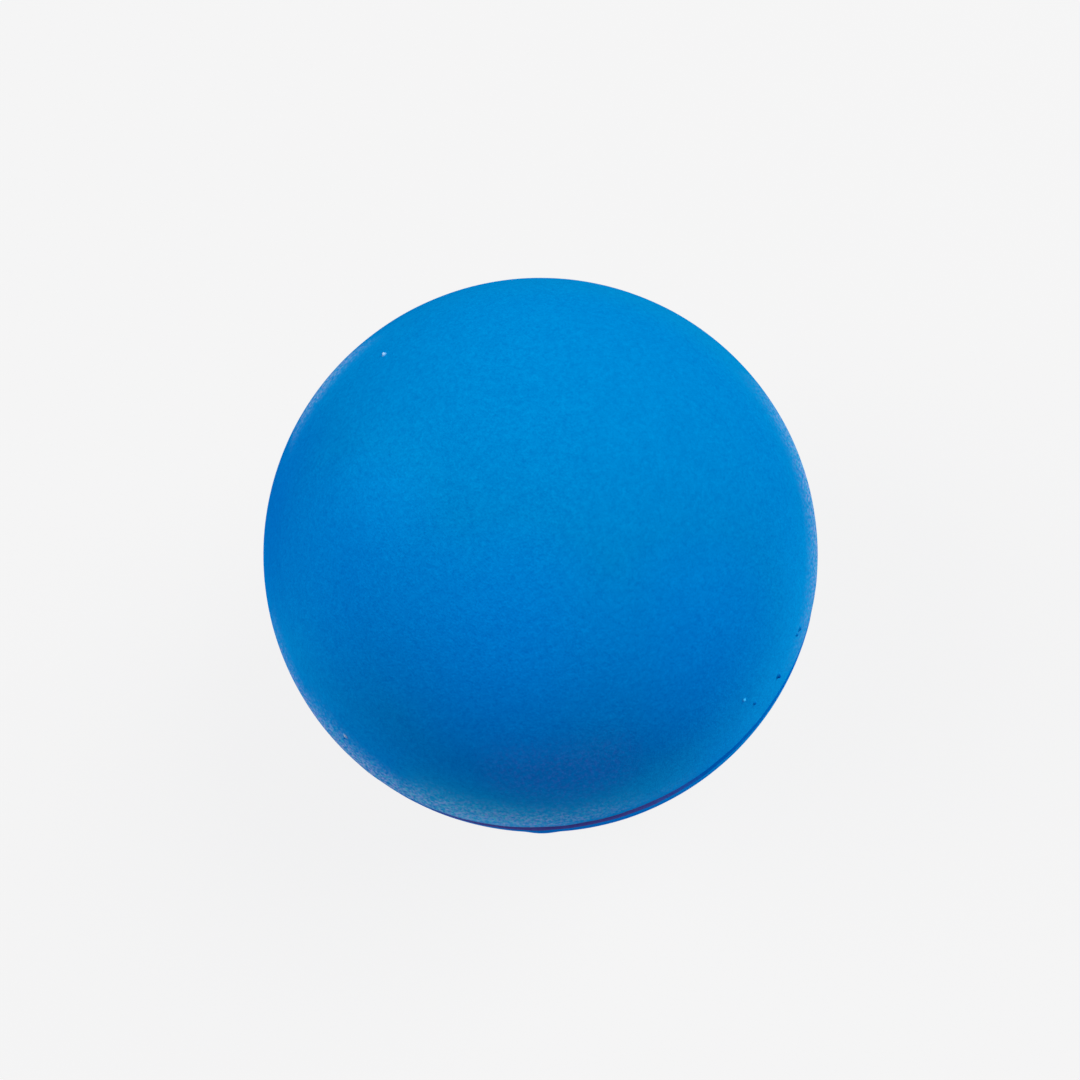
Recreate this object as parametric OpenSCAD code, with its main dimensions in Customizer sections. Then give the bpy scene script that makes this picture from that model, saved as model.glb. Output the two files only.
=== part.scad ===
// Hollow rubber hockey ball, moulded as two half shells and cemented along a lapped seam.
// Millimetres. The origin is the ball's centre, the seam lies in the XY plane and +Z is up.

/* [Ball] */
// Outside diameter of the ball
ball_d = 66; // [52:0.5:75]
// Thickness of the rubber wall
wall = 4.8; // [4:0.1:7]

/* [Seam] */
// Width of the V groove at the ball's surface
groove_w = 2.2; // [0.8:0.1:3]
// Depth of the V groove below the ball's surface
groove_d = 0.6; // [0.3:0.1:0.9]
// Thickness of the cement film between the two halves
cement_t = 0.3; // [0.2:0.05:0.5]
// Height of the locating tongue under the upper half's rim
tongue_h = 2.4; // [1.5:0.1:4]
// Step from the inside of the wall to the inside of the tongue
tongue_step = 0.5; // [0.4:0.1:0.8]
// Radius of the bead of cement squeezed out on the inside
bead_r = 0.8; // [0.5:0.1:1]

/* [Hidden] */
$fn = 144;
ball_r = ball_d / 2;
inner_r = ball_r - wall;
// The tongue takes the inner half of the wall, and the cement film lies against its outside.
tongue_inner_r = inner_r + tongue_step;
tongue_outer_r = inner_r + wall / 2;
socket_r = tongue_outer_r + cement_t;
socket_floor = -tongue_h - cement_t;
rim_z = cement_t / 2;
groove_floor_r = ball_r - groove_d;
// Half the groove's width one groove depth outside the ball, where its flanks are cut off
groove_mouth = groove_w - rim_z;

// Section of the hollow ball on one side of its axis, from pole to pole
module wall_section() {
    difference() {
        circle(r = ball_r);
        circle(r = inner_r);
        translate([-2 * ball_r, -ball_r]) square(2 * ball_r);
    }
}

// Section of the V groove round the equator, with the cement's edge as its floor
module groove_section() {
    polygon([
        [groove_floor_r, -rim_z],
        [ball_r + groove_d, -groove_mouth],
        [ball_r + groove_d, groove_mouth],
        [groove_floor_r, rim_z]
    ]);
}

// Section of the upper half: the wall above the rim, and the tongue that reaches below it
module upper_section() {
    below_rim = ball_r + rim_z;
    difference() {
        wall_section();
        translate([0, -ball_r]) square([tongue_inner_r, below_rim]);
        translate([tongue_outer_r, -ball_r]) square([wall, below_rim]);
        translate([0, -ball_r]) square([ball_r, ball_r - tongue_h]);
        groove_section();
    }
}

// Section of the lower half: the wall below the rim, less the socket that takes the tongue
module lower_section() {
    difference() {
        wall_section();
        translate([0, -rim_z]) square([ball_r, ball_r + rim_z]);
        translate([0, socket_floor]) square([socket_r, tongue_h + cement_t]);
        groove_section();
    }
}

// Section of the cement: outer land, film against the tongue, inner land and the squeezed-out bead
module cement_section() {
    translate([tongue_outer_r, -rim_z]) square([groove_floor_r - tongue_outer_r, cement_t]);
    translate([tongue_outer_r, socket_floor]) square([cement_t, tongue_h + cement_t + rim_z]);
    translate([tongue_inner_r, socket_floor]) square([socket_r - tongue_inner_r, cement_t]);
    difference() {
        translate([tongue_inner_r, socket_floor + cement_t / 2]) circle(r = bead_r);
        upper_section();
        lower_section();
        translate([tongue_inner_r, -tongue_h - bead_r]) square(2 * bead_r);
    }
}

module upper_half_shell() {
    color([0, 0.51, 0.81]) rotate_extrude() upper_section();
}

module lower_half_shell() {
    color([0, 0.51, 0.81]) rotate_extrude() lower_section();
}

module seam_cement() {
    color([0.2, 0.2, 0.45]) rotate_extrude() cement_section();
}

upper_half_shell();
lower_half_shell();
seam_cement();
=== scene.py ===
# Looks of the hockey ball: two rubber half shells and the cement between them, seen as in the photo.
# Metres. The origin is the ball's centre, the seam lies in the XY plane and +Z is up.

import math
from collections import namedtuple

import bmesh
import bpy
import numpy as np
from mathutils import Matrix, Vector, noise


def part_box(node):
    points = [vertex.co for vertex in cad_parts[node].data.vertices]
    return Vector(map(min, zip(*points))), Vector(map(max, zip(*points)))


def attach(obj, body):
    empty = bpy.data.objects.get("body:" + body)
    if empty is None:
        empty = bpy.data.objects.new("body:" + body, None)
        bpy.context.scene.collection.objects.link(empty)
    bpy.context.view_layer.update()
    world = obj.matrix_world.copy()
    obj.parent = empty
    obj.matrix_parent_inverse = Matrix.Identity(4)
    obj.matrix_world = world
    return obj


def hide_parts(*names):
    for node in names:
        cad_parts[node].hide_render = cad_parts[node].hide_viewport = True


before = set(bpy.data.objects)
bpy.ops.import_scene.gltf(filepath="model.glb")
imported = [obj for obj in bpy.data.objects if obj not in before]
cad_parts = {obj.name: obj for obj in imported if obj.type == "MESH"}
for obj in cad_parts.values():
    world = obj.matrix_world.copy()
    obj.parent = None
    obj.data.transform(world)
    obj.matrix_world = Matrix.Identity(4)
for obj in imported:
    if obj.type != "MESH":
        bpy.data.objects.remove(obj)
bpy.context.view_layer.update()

# Sizes of the pieces, from the frame where it shows them
MM = 0.001
BALL_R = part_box("upper_half_shell")[1].z
TONGUE_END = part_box("upper_half_shell")[0].z
GROOVE_FLOOR_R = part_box("seam_cement")[1].x
RIM_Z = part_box("seam_cement")[1].z
WALL = 4.8 * MM
GROOVE_HALF_W = 1.1 * MM
TONGUE_STEP = 0.5 * MM
BEAD_R = 0.8 * MM
FILM = 2 * RIM_Z
INNER_R = BALL_R - WALL
TONGUE_INNER_R = INNER_R + TONGUE_STEP
TONGUE_OUTER_R = INNER_R + WALL / 2
SOCKET_R = TONGUE_OUTER_R + FILM
SOCKET_FLOOR = TONGUE_END - FILM

# The mesh: spacing of its points outside and inside, and how many its smallest ring, a lip and the bead have
OUTER_STEP = 0.45 * MM
INNER_STEP = 1.6 * MM
FEWEST_TURNS = 8
LIP_POINTS = 6
BEAD_POINTS = 9

# The moulding: rounded lips, slight peel outside and trimmed flash along the lips
LIP_ROUND = 0.16 * MM
PEEL_HEIGHT = 0.012 * MM
PEEL_PITCH = 4.5 * MM
FLASH_HEIGHT = 0.05 * MM
FLASH_REACH = 1.2 * MM
FLASH_PITCH = 2.2 * MM
UPPER_FLASH_SEED = 1.7
LOWER_FLASH_SEED = 4.1

# The cement's edge, which bulges into the groove and wanders along it
EDGE_BULGE = 0.10 * MM
EDGE_WANDER = 0.08 * MM
EDGE_PITCH = 3.0 * MM
EDGE_SEED = 7.3

# The photo: its side, and the middle and radius of the ball's outline, in pixels from its top left corner
PHOTO_SIDE = 1080
PHOTO_MIDDLE = Vector((PHOTO_SIDE / 2, PHOTO_SIDE / 2))
PIXEL_MIDDLE = Vector((0.5, 0.5))
OUTLINE_PX = Vector((540.5, 555.0))
OUTLINE_R_PX = 277.15

# The camera: its distance from the ball's centre, its height over the seam plane, its roll, the width of its
# sensor in millimetres and the distance from which it sees
CAMERA_DISTANCE = 4.0 * BALL_R
CAMERA_ELEVATION = math.radians(65.7)
CAMERA_ROLL = math.radians(22.5)
SENSOR = 36.0
CLIP_START = 10 * MM


def camera_axes():
    """Right, up and back of a camera that looks at the ball's centre."""
    sine, cosine = math.sin(CAMERA_ELEVATION), math.cos(CAMERA_ELEVATION)
    level_right, level_up = Vector((1, 0, 0)), Vector((0, sine, cosine))
    right = math.cos(CAMERA_ROLL) * level_right - math.sin(CAMERA_ROLL) * level_up
    up = math.sin(CAMERA_ROLL) * level_right + math.cos(CAMERA_ROLL) * level_up
    return right, up, Vector((0, -cosine, sine))


# The ball's centre shows a little nearer the middle of the photo than the middle of its outline does. The
# camera looks past the centre by as much as it shows off the middle.
HALF_ANGLE = math.asin(BALL_R / CAMERA_DISTANCE)
FOCAL_PX = OUTLINE_R_PX / math.tan(HALF_ANGLE)
CENTRE_OFF = (OUTLINE_PX - PHOTO_MIDDLE) * math.cos(HALF_ANGLE) ** 2
RIGHT, UP, TO_CAMERA = camera_axes()
CAMERA_PLACE = CAMERA_DISTANCE * TO_CAMERA
AIM = (CENTRE_OFF.y * UP - CENTRE_OFF.x * RIGHT) * CAMERA_DISTANCE / FOCAL_PX
CAMERA_BACK = (CAMERA_PLACE - AIM).normalized()
CAMERA_RIGHT = UP.cross(CAMERA_BACK).normalized()
CAMERA_UP = CAMERA_BACK.cross(CAMERA_RIGHT)


def on_ball(pixel):
    """The point of the ball's surface that the middle of a pixel of the photo shows."""
    offset = (Vector(pixel) + PIXEL_MIDDLE - PHOTO_MIDDLE) / FOCAL_PX
    ray = (offset.x * CAMERA_RIGHT - offset.y * CAMERA_UP - CAMERA_BACK).normalized()
    along = -CAMERA_PLACE.dot(ray)
    nearest_sq = CAMERA_PLACE.length_squared - along ** 2
    return CAMERA_PLACE + ray * (along - math.sqrt(BALL_R ** 2 - nearest_sq))


# Colours of the marks on the ball, whose last number is their share over the rubber's
WHITE_GRAIN = (0.38, 0.68, 0.88, 1)
CYAN_GRAIN = (0.06, 0.60, 0.95, 1)
BEIGE_GRAIN = (0.36, 0.52, 0.60, 1)
DARK_GRAIN = (0.00, 0.100, 0.37, 1)
# Dim grains, and the painted shadow beside the beige grain
DIM_GRAIN_AND_SHADE = (0.00, 0.145, 0.44, 1)
UNTINTED = (0.00, 0.000, 0.00, 0)

# Marks that stand out of the ball, by the pixel where the photo shows them: grains of grit on the upper
# half, with a dim mark beside the beige grain that is its painted shadow, and on the lower half the stub of
# flash that breaks the outline
Mark = namedtuple("Mark", "pixel radius height colour")
UPPER_MARKS = {
    "white": Mark((383.8, 354.2), 0.32 * MM, 0.29 * MM, WHITE_GRAIN),
    "cyan": Mark((743.3, 699.3), 0.28 * MM, 0.22 * MM, CYAN_GRAIN),
    "beige": Mark((345.2, 735.4), 0.46 * MM, 0.16 * MM, BEIGE_GRAIN),
    # Painted shadow beside the beige grain
    "shade_by_beige": Mark((343.8, 737.7), 0.20 * MM, 0.10 * MM, DIM_GRAIN_AND_SHADE),
    "dark": Mark((777.5, 675.3), 0.42 * MM, 0.32 * MM, DARK_GRAIN),
    "by_cyan": Mark((754.0, 702.5), 0.30 * MM, 0.20 * MM, DIM_GRAIN_AND_SHADE),
    "right_rim": Mark((798.9, 628.3), 0.40 * MM, 0.22 * MM, DIM_GRAIN_AND_SHADE),
    "by_right_rim": Mark((796.1, 634.2), 0.28 * MM, 0.18 * MM, DIM_GRAIN_AND_SHADE),
}
LOWER_MARKS = {
    "flash_stub": Mark((542, 831.2), 2.6 * MM, 0.18 * MM, UNTINTED),
}

# The finer faces that carry marks: cuts in each of their edges, and how far they reach past a mark
MARK_CUTS = 5
MARK_MARGIN = 2 * OUTER_STEP
# A mark's colour reaches this many radii, so that it isn't mixed with black at its edge, and its share rises
# this many times as fast as its height.
COLOUR_REACH = 1.6
SHARE_RISE = 1.6


def arc(radius, start, end, step):
    """Points of an arc round the origin of the section, from one angle above the seam plane to another."""
    count = max(2, round(radius * abs(end - start) / step))
    return [(radius * math.cos(a), radius * math.sin(a)) for a in np.linspace(start, end, count + 1)]


def rounded(corner, before, after, reach):
    """A corner of the section cut back by reach along both its sides and joined by a smooth curve."""
    corner = Vector(corner)
    start = corner + (Vector(before) - corner).normalized() * reach
    end = corner + (Vector(after) - corner).normalized() * reach
    curve = [start.lerp(corner, t).lerp(corner.lerp(end, t), t) for t in np.linspace(0, 1, LIP_POINTS)]
    return [tuple(point) for point in curve]


def path(corners, step):
    """Points along straight lines from corner to corner, about a step apart, without the last corner."""
    points = []
    for start, end in zip(corners, corners[1:]):
        start, end = Vector(start), Vector(end)
        count = max(1, round((end - start).length / step))
        points += [tuple(start.lerp(end, i / count)) for i in range(count)]
    return points


def outer_edge(side):
    """Section of a half's outside, from its pole to the groove's floor; side is 1 above and -1 below."""
    lip_angle = math.asin(GROOVE_HALF_W / BALL_R)
    lip = (BALL_R * math.cos(lip_angle), side * GROOVE_HALF_W)
    floor = (GROOVE_FLOOR_R, side * RIM_Z)
    back_angle = lip_angle + LIP_ROUND / BALL_R
    back = (BALL_R * math.cos(back_angle), side * BALL_R * math.sin(back_angle))
    dome = arc(BALL_R, side * math.pi / 2, side * back_angle, OUTER_STEP)
    lip_curve = rounded(lip, back, floor, LIP_ROUND)
    return dome[:-1] + lip_curve[:-1] + path([lip_curve[-1], floor], LIP_ROUND)


def upper_section():
    """Outside, rim, tongue and inside of the upper half, from pole to pole."""
    inside_angle = math.asin(RIM_Z / INNER_R)
    rim = [
        (GROOVE_FLOOR_R, RIM_Z),
        (TONGUE_OUTER_R, RIM_Z),
        (TONGUE_OUTER_R, TONGUE_END),
        (TONGUE_INNER_R, TONGUE_END),
        (TONGUE_INNER_R, RIM_Z),
        (INNER_R * math.cos(inside_angle), RIM_Z),
    ]
    return outer_edge(1) + path(rim, INNER_STEP) + arc(INNER_R, inside_angle, math.pi / 2, INNER_STEP)


def lower_section():
    """Outside, rim, socket and inside of the lower half, from pole to pole."""
    inside_angle = math.asin(SOCKET_FLOOR / INNER_R)
    rim = [
        (GROOVE_FLOOR_R, -RIM_Z),
        (SOCKET_R, -RIM_Z),
        (SOCKET_R, SOCKET_FLOOR),
        (INNER_R * math.cos(inside_angle), SOCKET_FLOOR),
    ]
    return outer_edge(-1) + path(rim, INNER_STEP) + arc(INNER_R, inside_angle, -math.pi / 2, INNER_STEP)


def cement_section():
    """Bulged edge in the groove, land, film along the tongue, inner land and bead squeezed out inside."""
    bead_middle = SOCKET_FLOOR + FILM / 2
    bead_end = math.pi + math.asin(FILM / 2 / BEAD_R)
    bead = [
        (TONGUE_INNER_R + BEAD_R * math.cos(a), bead_middle + BEAD_R * math.sin(a))
        for a in np.linspace(math.pi / 2, bead_end, BEAD_POINTS)
    ]
    edge = [(GROOVE_FLOOR_R, -RIM_Z), (GROOVE_FLOOR_R + EDGE_BULGE, 0), (GROOVE_FLOOR_R, RIM_Z)]
    film = [(TONGUE_OUTER_R, RIM_Z), (TONGUE_OUTER_R, TONGUE_END), (TONGUE_INNER_R, TONGUE_END)]
    return edge + film + bead + [(SOCKET_R, SOCKET_FLOOR), (SOCKET_R, -RIM_Z)]


def ring_noise(angle, pitch, seed):
    """Noise that closes on itself round the seam, with about that pitch along it."""
    radius = BALL_R / pitch
    return noise.noise(Vector((radius * math.cos(angle), radius * math.sin(angle), seed)))


def even_turns(radius, step):
    """Number of points round a ring, at most a step apart: a power of two."""
    return 2 ** math.ceil(math.log2(max(FEWEST_TURNS, 2 * math.pi * radius / step)))


def next_turns(radius, step, before):
    """Number of points round the ring after another one: at most a doubling or halving of the one before."""
    return min(max(even_turns(radius, step), before // 2), before * 2)


def ring_angles(count):
    """Angles of points spread evenly round a ring."""
    return [2 * math.pi * j / count for j in range(count)]


def bridge(first, second):
    """Faces between two rings of vertex numbers, of which one may have twice as many as the other."""
    if len(first) < len(second):
        return [face[::-1] for face in bridge(second, first)]
    faces = []
    ratio = len(first) // len(second)
    for j, near in enumerate(second):
        far = second[(j + 1) % len(second)]
        middle = first[ratio * j + ratio - 1]
        faces.append((middle, first[ratio * (j + 1) % len(first)], far, near))
        if ratio == 2:
            faces.append((first[2 * j], middle, near))
    return faces


def turned(name, rings, poles):
    """Closed mesh through rings of points, which ends in two poles or, without them, in its first ring."""
    starts = np.cumsum([0] + [len(ring) for ring in rings])
    numbers = [list(range(start, start + len(ring))) for start, ring in zip(starts, rings)]
    joined = list(zip(numbers, numbers[1:]))
    points = [tuple(point) for ring in rings for point in ring] + poles
    if not poles:
        joined.append((numbers[-1], numbers[0]))
    faces = [face for first, second in joined for face in bridge(first, second)]
    for pole, ring in zip(range(starts[-1], len(points)), (numbers[0], numbers[-1])):
        faces += [(pole, ring[j - 1], ring[j]) for j in range(len(ring))]
    mesh = bpy.data.meshes.new(name)
    mesh.from_pydata(points, [], faces)
    shape = bmesh.new()
    shape.from_mesh(mesh)
    bmesh.ops.recalc_face_normals(shape, faces=shape.faces)
    shape.to_mesh(mesh)
    shape.free()
    mesh.polygons.foreach_set("use_smooth", [True] * len(mesh.polygons))
    return mesh


def half_mesh(name, section, flash_seed):
    """Mesh of a half shell: its section turned about Z, with peel outside and trimmed flash on its lip."""
    rings = []
    count = FEWEST_TURNS
    for radius, height in section[1:-1]:
        distance = math.hypot(radius, height)
        count = next_turns(radius, OUTER_STEP if distance > SOCKET_R else INNER_STEP, count)
        from_lip = abs(abs(height) - GROOVE_HALF_W)
        flash = 0.0
        if distance > GROOVE_FLOOR_R + FILM / 2:
            flash = FLASH_HEIGHT * max(0.0, 1 - from_lip / FLASH_REACH) ** 2
        ring = []
        for angle in ring_angles(count):
            out = radius + flash * ring_noise(angle, FLASH_PITCH, flash_seed)
            point = Vector((out * math.cos(angle), out * math.sin(angle), height))
            if distance > BALL_R - LIP_ROUND:
                point *= 1 + PEEL_HEIGHT / BALL_R * noise.noise(point / PEEL_PITCH)
            ring.append(point)
        rings.append(ring)
    return turned(name, rings, [(0, 0, section[0][1]), (0, 0, section[-1][1])])


def cement_mesh(name):
    """Mesh of the cement ring, whose edge wanders in and out along the groove."""
    rings = []
    for radius, height in cement_section():
        wander = EDGE_WANDER if radius >= GROOVE_FLOOR_R else 0.0
        ring = []
        for angle in ring_angles(even_turns(BALL_R, OUTER_STEP)):
            out = radius + wander * ring_noise(angle, EDGE_PITCH, EDGE_SEED)
            ring.append((out * math.cos(angle), out * math.sin(angle), height))
        rings.append(ring)
    return turned(name, rings, [])


def add_marks(mesh, marks):
    """Raises marks on a mesh, on finer faces, with their colours and shares in a vertex attribute."""
    shape = bmesh.new()
    shape.from_mesh(mesh)
    centres = [on_ball(mark.pixel) for mark in marks]
    near = set()
    for mark, centre in zip(marks, centres):
        reach = mark.radius + MARK_MARGIN
        near.update(vert.index for vert in shape.verts if (vert.co - centre).length < reach)
    edges = [edge for edge in shape.edges if any(vert.index in near for vert in edge.verts)]
    bmesh.ops.subdivide_edges(shape, edges=edges, cuts=MARK_CUTS, use_grid_fill=True)

    layer = shape.verts.layers.float_color.new("mark")
    for vert in shape.verts:
        vert[layer] = UNTINTED
    for mark, centre in zip(marks, centres):
        *tint, full_share = mark.colour
        for vert in shape.verts:
            away = (vert.co - centre).length / mark.radius
            if away < COLOUR_REACH:
                rise = max(0.0, 1 - away ** 2) ** 2
                share = full_share * min(1.0, SHARE_RISE * rise)
                vert.co *= 1 + mark.height * rise / BALL_R
                vert[layer] = (*tint, max(vert[layer][3], share))
    shape.to_mesh(mesh)
    shape.free()


def add_piece(name, mesh, material, node):
    """Adds a mesh as a piece that stands for a CAD node."""
    piece = bpy.data.objects.new(name, mesh)
    bpy.context.scene.collection.objects.link(piece)
    mesh.materials.append(material)
    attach(piece, "root")
    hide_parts(node)


# Where the colour sockets stand among those of a Mix node
MIX_SHARE = 0
MIX_A = 6
MIX_B = 7
MIX_RESULT = 2


class Tree:
    """A material's or a world's nodes, added one at a time and joined by their sockets."""

    def __init__(self, owner):
        owner.use_nodes = True
        self.tree = owner.node_tree
        self.tree.nodes.clear()

    def add(self, kind, settings=None, **inputs):
        """A new node with its settings and inputs; _ in an input's name stands for a space."""
        node = self.tree.nodes.new("ShaderNode" + kind)
        for key, value in (settings or {}).items():
            setattr(node, key, value)
        for key, value in inputs.items():
            self.put(node.inputs[key.replace("_", " ")], value)
        return node

    def put(self, socket, value):
        """Links a socket to another one, or sets it to a value."""
        if isinstance(value, bpy.types.NodeSocket):
            self.tree.links.new(value, socket)
        else:
            socket.default_value = value

    def fill(self, node, *values):
        """Puts values into a node's first sockets, in their order."""
        for socket, value in zip(node.inputs, values):
            self.put(socket, value)
        return node

    def math(self, operation, a, b=0.0):
        """Result of an operation on numbers."""
        return self.fill(self.add("Math", {"operation": operation}), a, b).outputs["Value"]

    def vectors(self, operation, *values):
        """Outputs of an operation on vectors: Vector, or Value where it gives a number."""
        return self.fill(self.add("VectorMath", {"operation": operation}), *values).outputs

    def ramp(self, value, low, high, to_low=0.0, to_high=1.0, kind="SMOOTHSTEP"):
        """A step from one value at low to another at high, smooth or straight, and level beyond them."""
        node = self.add("MapRange", {"interpolation_type": kind, "clamp": True}, Value=value)
        for name, end in (("From Min", low), ("From Max", high), ("To Min", to_low), ("To Max", to_high)):
            self.put(node.inputs[name], end)
        return node.outputs["Result"]

    def mix(self, share, a, b, kind="MIX"):
        """A colour with a share of another over it, or of their product where the kind is MULTIPLY."""
        node = self.add("Mix", {"data_type": "RGBA", "blend_type": kind})
        for number, value in ((MIX_SHARE, share), (MIX_A, a), (MIX_B, b)):
            self.put(node.inputs[number], value)
        return node.outputs[MIX_RESULT]

    def mix_shaders(self, share, a, b):
        """A shader with a share of another over it."""
        return self.fill(self.add("MixShader"), share, a, b).outputs["Shader"]

    def noise(self, pitch, detail, place):
        """Noise from 0 to 1, with about that pitch."""
        return self.add("TexNoise", Scale=1 / pitch, Detail=detail, Vector=place).outputs["Fac"]

    def place(self):
        """The place on the ball or the floor, from the ball's centre."""
        return self.add("TexCoord").outputs["Object"]

    def height(self, place):
        """Height of a place over the seam plane."""
        return self.add("SeparateXYZ", Vector=place).outputs["Z"]

    def squeezed(self, place, axis, times):
        """A place with its distance along an axis divided, where a pattern is drawn out along that axis."""
        along = self.vectors("DOT_PRODUCT", place, axis)["Value"]
        cut = self.math("MULTIPLY", along, 1 - 1 / times)
        shift = self.add("VectorMath", {"operation": "SCALE"}, Vector=axis, Scale=cut)
        return self.vectors("SUBTRACT", place, shift.outputs["Vector"])["Vector"]

    def toward(self, place, pixel):
        """How near a place is to a pixel's, seen from the ball's centre: 1 there, 0 a quarter turn away."""
        outward = self.vectors("NORMALIZE", place)["Vector"]
        return self.vectors("DOT_PRODUCT", outward, on_ball(pixel).normalized())["Value"]

    def bearing(self, place, pixel):
        """How near a place is to a pixel's round the ball's axis: 1 on its side, 0 a quarter turn away."""
        level = self.vectors("MULTIPLY", place, (1, 1, 0))["Vector"]
        outward = self.vectors("NORMALIZE", level)["Vector"]
        return self.vectors("DOT_PRODUCT", outward, on_ball(pixel).xy.normalized().to_3d())["Value"]

    def seen(self):
        """1 for what the camera sees, straight or in gloss or glass, and 0 for light on its way."""
        rays = self.add("LightPath").outputs
        straight_or_gloss = self.math("MAXIMUM", rays["Is Camera Ray"], rays["Is Glossy Ray"])
        return self.math("MAXIMUM", straight_or_gloss, rays["Is Transmission Ray"])


# Colours of the rubber: its blue, the range of its grain, the groove's darker blue as painted shade, the
# smear, and painted shade tints, sheens and highlights, partly dust, over the ball
BLUE = (0.000, 0.224, 0.520, 1)
GRAIN_DARK = (0.90, 0.61, 0.785, 1)
GRAIN_LIGHT = (1.10, 1.39, 1.215, 1)
# The groove's blue, darker than the rubber's: painted shade of the recess
GROOVE_SHADE_BLUE = (0.000, 0.155, 0.500, 1)
SMEAR = (0.125, 0.120, 0.340, 1)
# A bluer tint that paints the colour of shade
SHADE_TINT_BLUE = (0.000, 0.220, 0.600, 1)
# Pale and bright blue sheens painted on the rims, partly dust
PALE_SHEEN = (0.006, 0.460, 0.490, 1)
BLUE_SHEEN = (0.004, 0.560, 1.000, 1)
# Painted shade on the left rim, a darker blue
LEFT_RIM_SHADE = (0.000, 0.150, 0.520, 1)
# Painted highlight along the lip above the groove
LIP_HIGHLIGHT = (0.150, 0.830, 0.890, 1)
# Hues and tints of speckled grains of painted sheen, partly dust, and a violet tint painted in shade
LAVENDER = (0.750, 0.780, 1.000, 1)
TEAL = (0.120, 0.980, 0.800, 1)
BRIGHT_SHEEN_TINT = (0.950, 1.000, 0.930, 1)
RIM_SHEEN_TINT = (0.960, 0.710, 0.840, 1)
SHADE_VIOLET_TINT = (0.160, 0.180, 0.600, 1)

# Colours of the cement
CEMENT_DARK = (0.035, 0.028, 0.155, 1)
CEMENT_PALE = (0.050, 0.045, 0.200, 1)
CEMENT_BLUE = (0.006, 0.045, 0.200, 1)

# The rubber's grain: pitch, detail and share of each of its layers, and the depth and strength of its bump
Layer = namedtuple("Layer", "pitch detail share")
GRAIN_LAYERS = {
    "fine": Layer(0.20 * MM, 0.0, 0.40),
    "grain": Layer(0.50 * MM, 1.0, 0.44),
    "mottle": Layer(2.0 * MM, 2.0, 0.16),
}
GRAIN_DEPTH = 0.05 * MM
GRAIN_STRENGTH = 1.0

# The cement's lumps: pitch, detail, the limits of their tone and the depth and strength of their bump
LUMP_PITCH = 1.2 * MM
LUMP_DETAIL = 3.0
LUMP_LIMITS = (0.3, 0.7)
LUMP_DEPTH = 0.05 * MM
LUMP_STRENGTH = 0.5

# Roughness of rubber and cement, from one limit of a noise to the other, and the gloss of both
ROUGHNESS_LIMITS = (0.2, 0.8)
RUBBER_ROUGHNESS = (0.85, 0.95)
CEMENT_ROUGHNESS = (0.55, 0.75)
NO_GLOSS = 0.0

# The groove's own colour, a darker blue that paints the recess's shade, indigo where smeared: where it
# starts on the lip and where it is full, as distances from the seam plane
GROOVE_START = GROOVE_HALF_W + 0.06 * MM
GROOVE_FULL = GROOVE_HALF_W - 0.10 * MM

# Where the photo shows indigo cement smear in the groove, and the degrees round the seam up to which it is
# full and at which it ends
SMEAR_PX = (549, 827)
SMEAR_FULL = 10
SMEAR_END = 33

# Faint areas of painted light: a bluer tint that paints the shade below the middle and on both sides, and a
# faint painted highlight left of the middle. Each has the pixel where it is strongest, degrees from there to
# its edge, its share and its colour
Area = namedtuple("Area", "pixel edge share tint")
SHADE_AND_HIGHLIGHT_AREAS = {
    "below_middle": Area((500, 660), 24, 1.00, SHADE_TINT_BLUE),
    "left": Area((345, 580), 24, 0.80, SHADE_TINT_BLUE),
    "right": Area((690, 655), 22, 0.80, SHADE_TINT_BLUE),
    # A faint painted highlight left of the middle
    "upper_left": Area((385, 480), 13, 0.07, BLUE_SHEEN),
}

# Heights from which the patches of painted light are full, and how far below them they start
EVERYWHERE = -BALL_R
FROM_LIP = GROOVE_HALF_W + LIP_ROUND
OVER_LIP = GROOVE_HALF_W + 1.4 * MM
PATCH_FADE = 1.0 * MM

# Patches of painted light, which show more where the surface turns away: painted sheen and reflection on the
# rims, partly dust, a painted highlight on the lip and painted shade on the left rim. Each has the pixel
# where it is strongest, degrees from there to its edge, how far the surface is turned away where it starts
# and where it is full, from 0 face on to 1 edge on, its share there, the height from which it is full, and
# its colour, which for grains tints theirs
Patch = namedtuple("Patch", "pixel edge start full share over tint")
PAINTED_LIGHT_PATCHES = {
    # Painted reflection of the pale floor on the bottom rim, as a sheen
    "bottom": Patch((552, 821), 33, 0.40, 0.75, 1.00, FROM_LIP, PALE_SHEEN),
    # Painted highlight along the lip above the groove
    "lip_highlight": Patch((516, 828), 14, 0.71, 0.79, 0.60, FROM_LIP, LIP_HIGHLIGHT),
    "lower_right": Patch((662, 792), 63, 0.35, 0.85, 0.55, EVERYWHERE, BLUE_SHEEN),
    "left": Patch((285, 633), 37, 0.20, 0.80, 0.25, EVERYWHERE, BLUE_SHEEN),
    "upper_right": Patch((770, 420), 90, 0.55, 0.90, 0.15, EVERYWHERE, PALE_SHEEN),
    # Painted shade on the left rim, where the light falls off
    "shaded_left_rim": Patch((276, 516), 24, 0.20, 0.80, 0.60, EVERYWHERE, LEFT_RIM_SHADE),
    "upper_left": Patch((331, 389), 22, 0.60, 0.85, 0.15, EVERYWHERE, BLUE_SHEEN),
}
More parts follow.
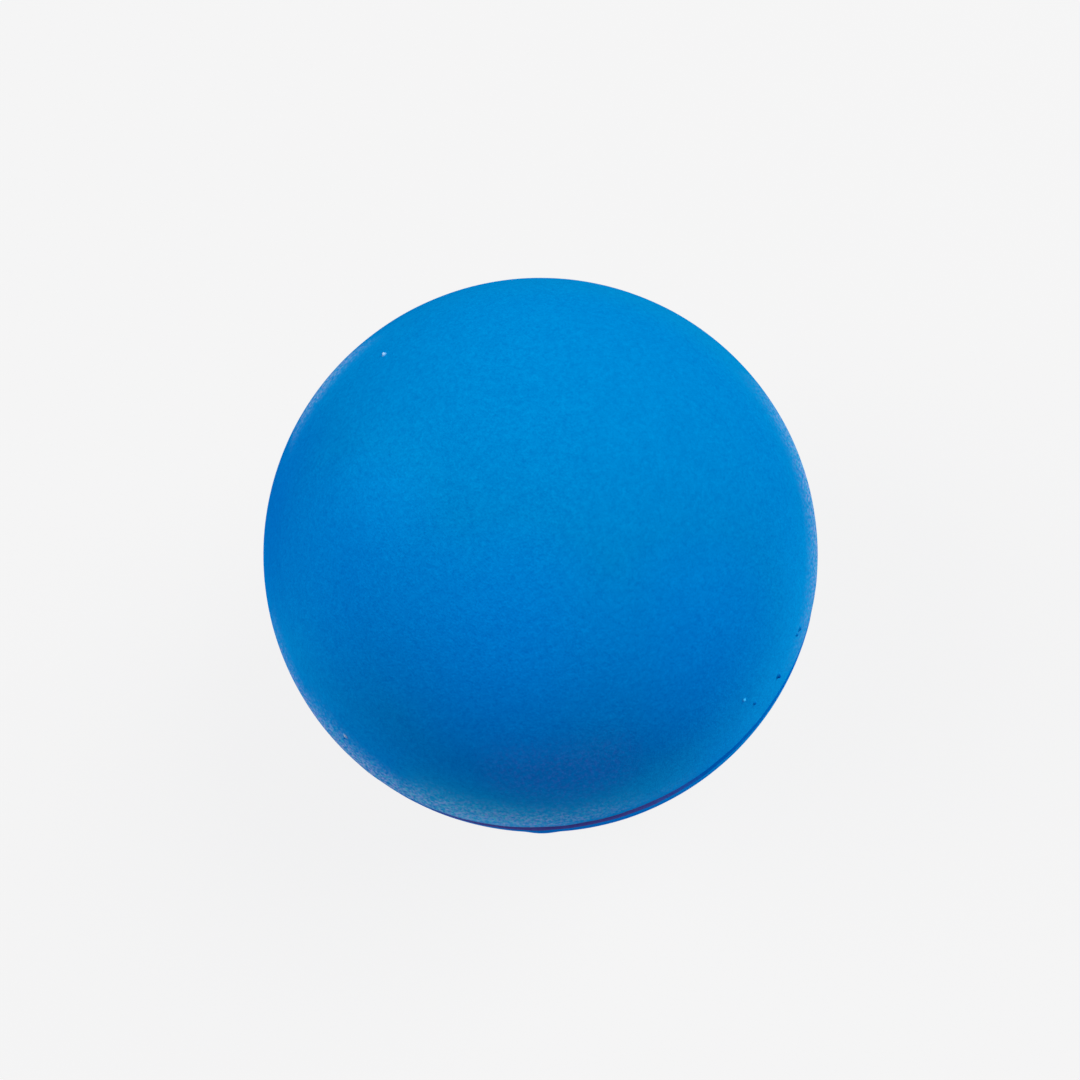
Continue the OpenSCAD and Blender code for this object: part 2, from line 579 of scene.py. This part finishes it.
PAINTED_SPECKLE_PATCHES = {
    "bottom": Patch((523, 821), 24, 0.55, 0.75, 0.50, OVER_LIP, BRIGHT_SHEEN_TINT),
    "lower_left": Patch((436, 800), 33, 0.65, 0.85, 0.60, FROM_LIP, BRIGHT_SHEEN_TINT),
    "lower_right": Patch((658, 790), 9, 0.65, 0.80, 0.10, OVER_LIP, BRIGHT_SHEEN_TINT),
    "lower_left_rim": Patch((335, 725), 27, 0.75, 1.00, 1.00, FROM_LIP, RIM_SHEEN_TINT),
    "right_rim": Patch((804, 514), 31, 0.70, 1.00, 0.75, FROM_LIP, RIM_SHEEN_TINT),
    "upper_left_rim": Patch((330, 390), 15, 0.74, 0.97, 1.00, FROM_LIP, RIM_SHEEN_TINT),
    # Violet speckle painted where the ball is in shade
    "violet_in_shade": Patch((560, 772), 16, 0.22, 0.38, 0.25, FROM_LIP, SHADE_VIOLET_TINT),
}
# Layer Weight turns evenly from face on to edge on at this blend.
EVEN_BLEND = 0.5

# Speckled grains of painted sheen, partly dust, and of painted violet shade: the pitch and limits of the
# noise that spreads them and of the noise that colours them. They are drawn out along the photo's line of
# sight, so that they look round on the rim.
SPECKLE_DETAIL = 1.0
SPECKLE_STRETCH = 5.0
SPREAD_PITCH = 0.38 * MM
SPREAD_LIMITS = (0.22, 0.78)
HUE_PITCH = 0.34 * MM
HUE_LIMITS = (0.25, 0.75)


def degrees_cos(angle):
    """Cosine of an angle in degrees."""
    return math.cos(math.radians(angle))


def share_near(t, place, area):
    """Share of an area or a patch of painted light at a place: full at its pixel and none from its edge on.
    """
    return t.ramp(t.toward(place, area.pixel), degrees_cos(area.edge), 1.0, 0.0, area.share, kind="LINEAR")


def painted_light_share(t, place, patch, facing):
    """Share of a patch of painted light at a place, by how far the surface is turned away and by its height.
    """
    share = t.math("MULTIPLY", share_near(t, place, patch), t.ramp(facing, patch.start, patch.full))
    return t.math("MULTIPLY", share, t.ramp(t.height(place), patch.over - PATCH_FADE, patch.over))


def with_painted_light(t, place, colour):
    """A colour with painted shade tints and highlight, then painted sheen, highlight and shade, partly dust.
    """
    for area in SHADE_AND_HIGHLIGHT_AREAS.values():
        colour = t.mix(share_near(t, place, area), colour, area.tint)

    facing = t.add("LayerWeight", Blend=EVEN_BLEND).outputs["Facing"]
    for patch in PAINTED_LIGHT_PATCHES.values():
        colour = t.mix(painted_light_share(t, place, patch, facing), colour, patch.tint)

    drawn_out = t.squeezed(place, TO_CAMERA, SPECKLE_STRETCH)
    spread = t.ramp(t.noise(SPREAD_PITCH, SPECKLE_DETAIL, drawn_out), *SPREAD_LIMITS)
    hue = t.mix(t.ramp(t.noise(HUE_PITCH, SPECKLE_DETAIL, drawn_out), *HUE_LIMITS), TEAL, LAVENDER)
    for patch in PAINTED_SPECKLE_PATCHES.values():
        share = t.math("MULTIPLY", painted_light_share(t, place, patch, facing), spread)
        colour = t.mix(share, colour, t.mix(1.0, hue, patch.tint, "MULTIPLY"))
    return colour


def smeared(t, place):
    """How thick the cement is smeared round the seam, from 0 to 1."""
    return t.ramp(t.bearing(place, SMEAR_PX), degrees_cos(SMEAR_END), degrees_cos(SMEAR_FULL))


def end_matte(t, colour, roughness, bump):
    """Ends a material's nodes in a shader without gloss."""
    normal = bump.outputs["Normal"]
    shader = t.add("BsdfPrincipled", Base_Color=colour, Roughness=roughness, Normal=normal)
    t.put(shader.inputs["Specular IOR Level"], NO_GLOSS)
    t.add("OutputMaterial", Surface=shader.outputs["BSDF"])


def rubber_material():
    """Matte blue rubber: fine grain, faint mottling, marks, painted shade, sheen and highlights with some
    dust, and dark smear in the groove.
    """
    material = bpy.data.materials.new("shell_rubber")
    t = Tree(material)
    place = t.place()
    layers = {name: t.noise(layer.pitch, layer.detail, place) for name, layer in GRAIN_LAYERS.items()}
    tone = 0.0
    for name, layer in GRAIN_LAYERS.items():
        tone = t.math("ADD", tone, t.math("MULTIPLY", layers[name], layer.share))

    # The groove is painted a darker blue for its shade, and indigo where the cement is smeared.
    groove = t.ramp(t.math("ABSOLUTE", t.height(place)), GROOVE_START, GROOVE_FULL)
    colour = t.mix(groove, with_painted_light(t, place, BLUE), t.mix(smeared(t, place), GROOVE_SHADE_BLUE, SMEAR))
    colour = t.mix(1.0, colour, t.mix(tone, GRAIN_DARK, GRAIN_LIGHT), "MULTIPLY")
    mark = t.add("Attribute", {"attribute_name": "mark"}).outputs
    colour = t.mix(mark["Alpha"], colour, mark["Color"])

    roughness = t.ramp(layers["mottle"], *ROUGHNESS_LIMITS, *RUBBER_ROUGHNESS)
    bump = t.add("Bump", Strength=GRAIN_STRENGTH, Distance=GRAIN_DEPTH, Height=tone)
    end_matte(t, colour, roughness, bump)
    return material


def cement_material():
    """Dull cement with uneven tone, indigo where it is smeared and blue elsewhere."""
    material = bpy.data.materials.new("seam_cement")
    t = Tree(material)
    place = t.place()
    lumps = t.noise(LUMP_PITCH, LUMP_DETAIL, place)
    indigo = t.mix(t.ramp(lumps, *LUMP_LIMITS), CEMENT_DARK, CEMENT_PALE)
    colour = t.mix(smeared(t, place), CEMENT_BLUE, indigo)
    roughness = t.ramp(lumps, *ROUGHNESS_LIMITS, *CEMENT_ROUGHNESS)
    bump = t.add("Bump", Strength=LUMP_STRENGTH, Distance=LUMP_DEPTH, Height=lumps)
    end_matte(t, colour, roughness, bump)
    return material


# The pieces
rubber = rubber_material()
cement = cement_material()
upper_mesh = half_mesh("upper_half", upper_section(), UPPER_FLASH_SEED)
add_marks(upper_mesh, UPPER_MARKS.values())
lower_mesh = half_mesh("lower_half", lower_section(), LOWER_FLASH_SEED)
add_marks(lower_mesh, LOWER_MARKS.values())
add_piece("upper_half", upper_mesh, rubber, "upper_half_shell")
add_piece("lower_half", lower_mesh, rubber, "lower_half_shell")
add_piece("cement_line", cement_mesh("cement_line"), cement, "seam_cement")

# The floor: its side and height, its colour for light on its way and for the camera, and the background's
FLOOR_SIDE = 6.0
FLOOR_Z = -BALL_R - PEEL_HEIGHT
FLOOR = (0.45, 0.45, 0.70, 1)
FLOOR_SEEN = (0.87, 0.85, 0.765, 1)
BACKGROUND = (0.913, 0.913, 0.913, 1)

# The share of the floor's look that is plain background, right under the ball and round it, with the rest
# left to light and shadow. The first changes to the second between two distances from the ball's centre, and
# the second to all of it between two more.
CONTACT_PLAIN = 0.35
ROUND_PLAIN = 0.935
CONTACT_NEAR = 1.02 * BALL_R
CONTACT_FAR = 1.28 * BALL_R
FLOOR_NEAR = 0.30
FLOOR_FAR = 0.90


def floor_material():
    """Pale floor with the ball's shadow on it, which runs into the background without a line."""
    material = bpy.data.materials.new("floor")
    t = Tree(material)
    away = t.vectors("LENGTH", t.place())["Value"]
    near_plain = t.ramp(away, CONTACT_NEAR, CONTACT_FAR, CONTACT_PLAIN, ROUND_PLAIN)
    far_plain = t.ramp(away, FLOOR_NEAR, FLOOR_FAR, 0.0, 1 - ROUND_PLAIN)
    seen = t.seen()
    plain = t.math("MULTIPLY", seen, t.math("ADD", near_plain, far_plain))
    lit = t.add("BsdfDiffuse", Color=t.mix(seen, FLOOR, FLOOR_SEEN)).outputs["BSDF"]
    background = t.add("Emission", Color=BACKGROUND).outputs["Emission"]
    t.add("OutputMaterial", Surface=t.mix_shaders(plain, lit, background))
    return material


def add_floor():
    """A square floor that the ball lies on."""
    mesh = bpy.data.meshes.new("floor")
    half_side = FLOOR_SIDE / 2
    corners = [(x * half_side, y * half_side, FLOOR_Z) for x, y in ((-1, -1), (1, -1), (1, 1), (-1, 1))]
    mesh.from_pydata(corners, [], [(0, 1, 2, 3)])
    mesh.materials.append(floor_material())
    floor = bpy.data.objects.new("floor", mesh)
    bpy.context.scene.collection.objects.link(floor)


# Light: each softbox's direction in the photo, in degrees clockwise from 12 o'clock, its degrees off the
# camera's axis and its watts, then the distance and side of them all, and the light of the room
Lamp = namedtuple("Lamp", "clock off_axis watts")
LAMPS = {
    "right_softbox": Lamp(46, 50, 14.7),
    "left_softbox": Lamp(286, 58, 9.7),
}
LAMP_DISTANCE = 1.2
LAMP_SIDE = 0.8
AMBIENT = (0.035, 0.035, 0.20, 1)


def add_lamp(name, settings):
    """A square soft lamp that faces the ball."""
    clock, off_axis = math.radians(settings.clock), math.radians(settings.off_axis)
    sideways = math.sin(clock) * RIGHT + math.cos(clock) * UP
    toward = math.cos(off_axis) * TO_CAMERA + math.sin(off_axis) * sideways
    data = bpy.data.lights.new(name, "AREA")
    data.shape = "SQUARE"
    data.size = LAMP_SIDE
    data.energy = settings.watts
    lamp = bpy.data.objects.new(name, data)
    lamp.location = toward * LAMP_DISTANCE
    lamp.rotation_euler = toward.to_track_quat("Z", "Y").to_euler()
    lamp.visible_camera = False
    bpy.context.scene.collection.objects.link(lamp)


def add_world():
    """A dim bluish room that is seen as the pale background."""
    world = bpy.data.worlds.new("studio")
    t = Tree(world)
    room = t.add("Background", Color=AMBIENT).outputs["Background"]
    background = t.add("Background", Color=BACKGROUND).outputs["Background"]
    t.add("OutputWorld", Surface=t.mix_shaders(t.seen(), room, background))
    bpy.context.scene.world = world


def add_camera():
    """The camera at the photo's place, as the scene's own."""
    data = bpy.data.cameras.new("camera")
    data.sensor_width = SENSOR
    data.lens = SENSOR * FOCAL_PX / PHOTO_SIDE
    data.clip_start = CLIP_START
    camera = bpy.data.objects.new("camera", data)
    axes = Matrix((CAMERA_RIGHT, CAMERA_UP, CAMERA_BACK)).transposed().to_4x4()
    camera.matrix_world = Matrix.Translation(CAMERA_PLACE) @ axes
    bpy.context.scene.collection.objects.link(camera)
    bpy.context.scene.camera = camera


# The stage, the light and the camera
add_floor()
for lamp_name, lamp_settings in LAMPS.items():
    add_lamp(lamp_name, lamp_settings)
add_world()
add_camera()
bpy.context.scene.view_settings.view_transform = "Standard"
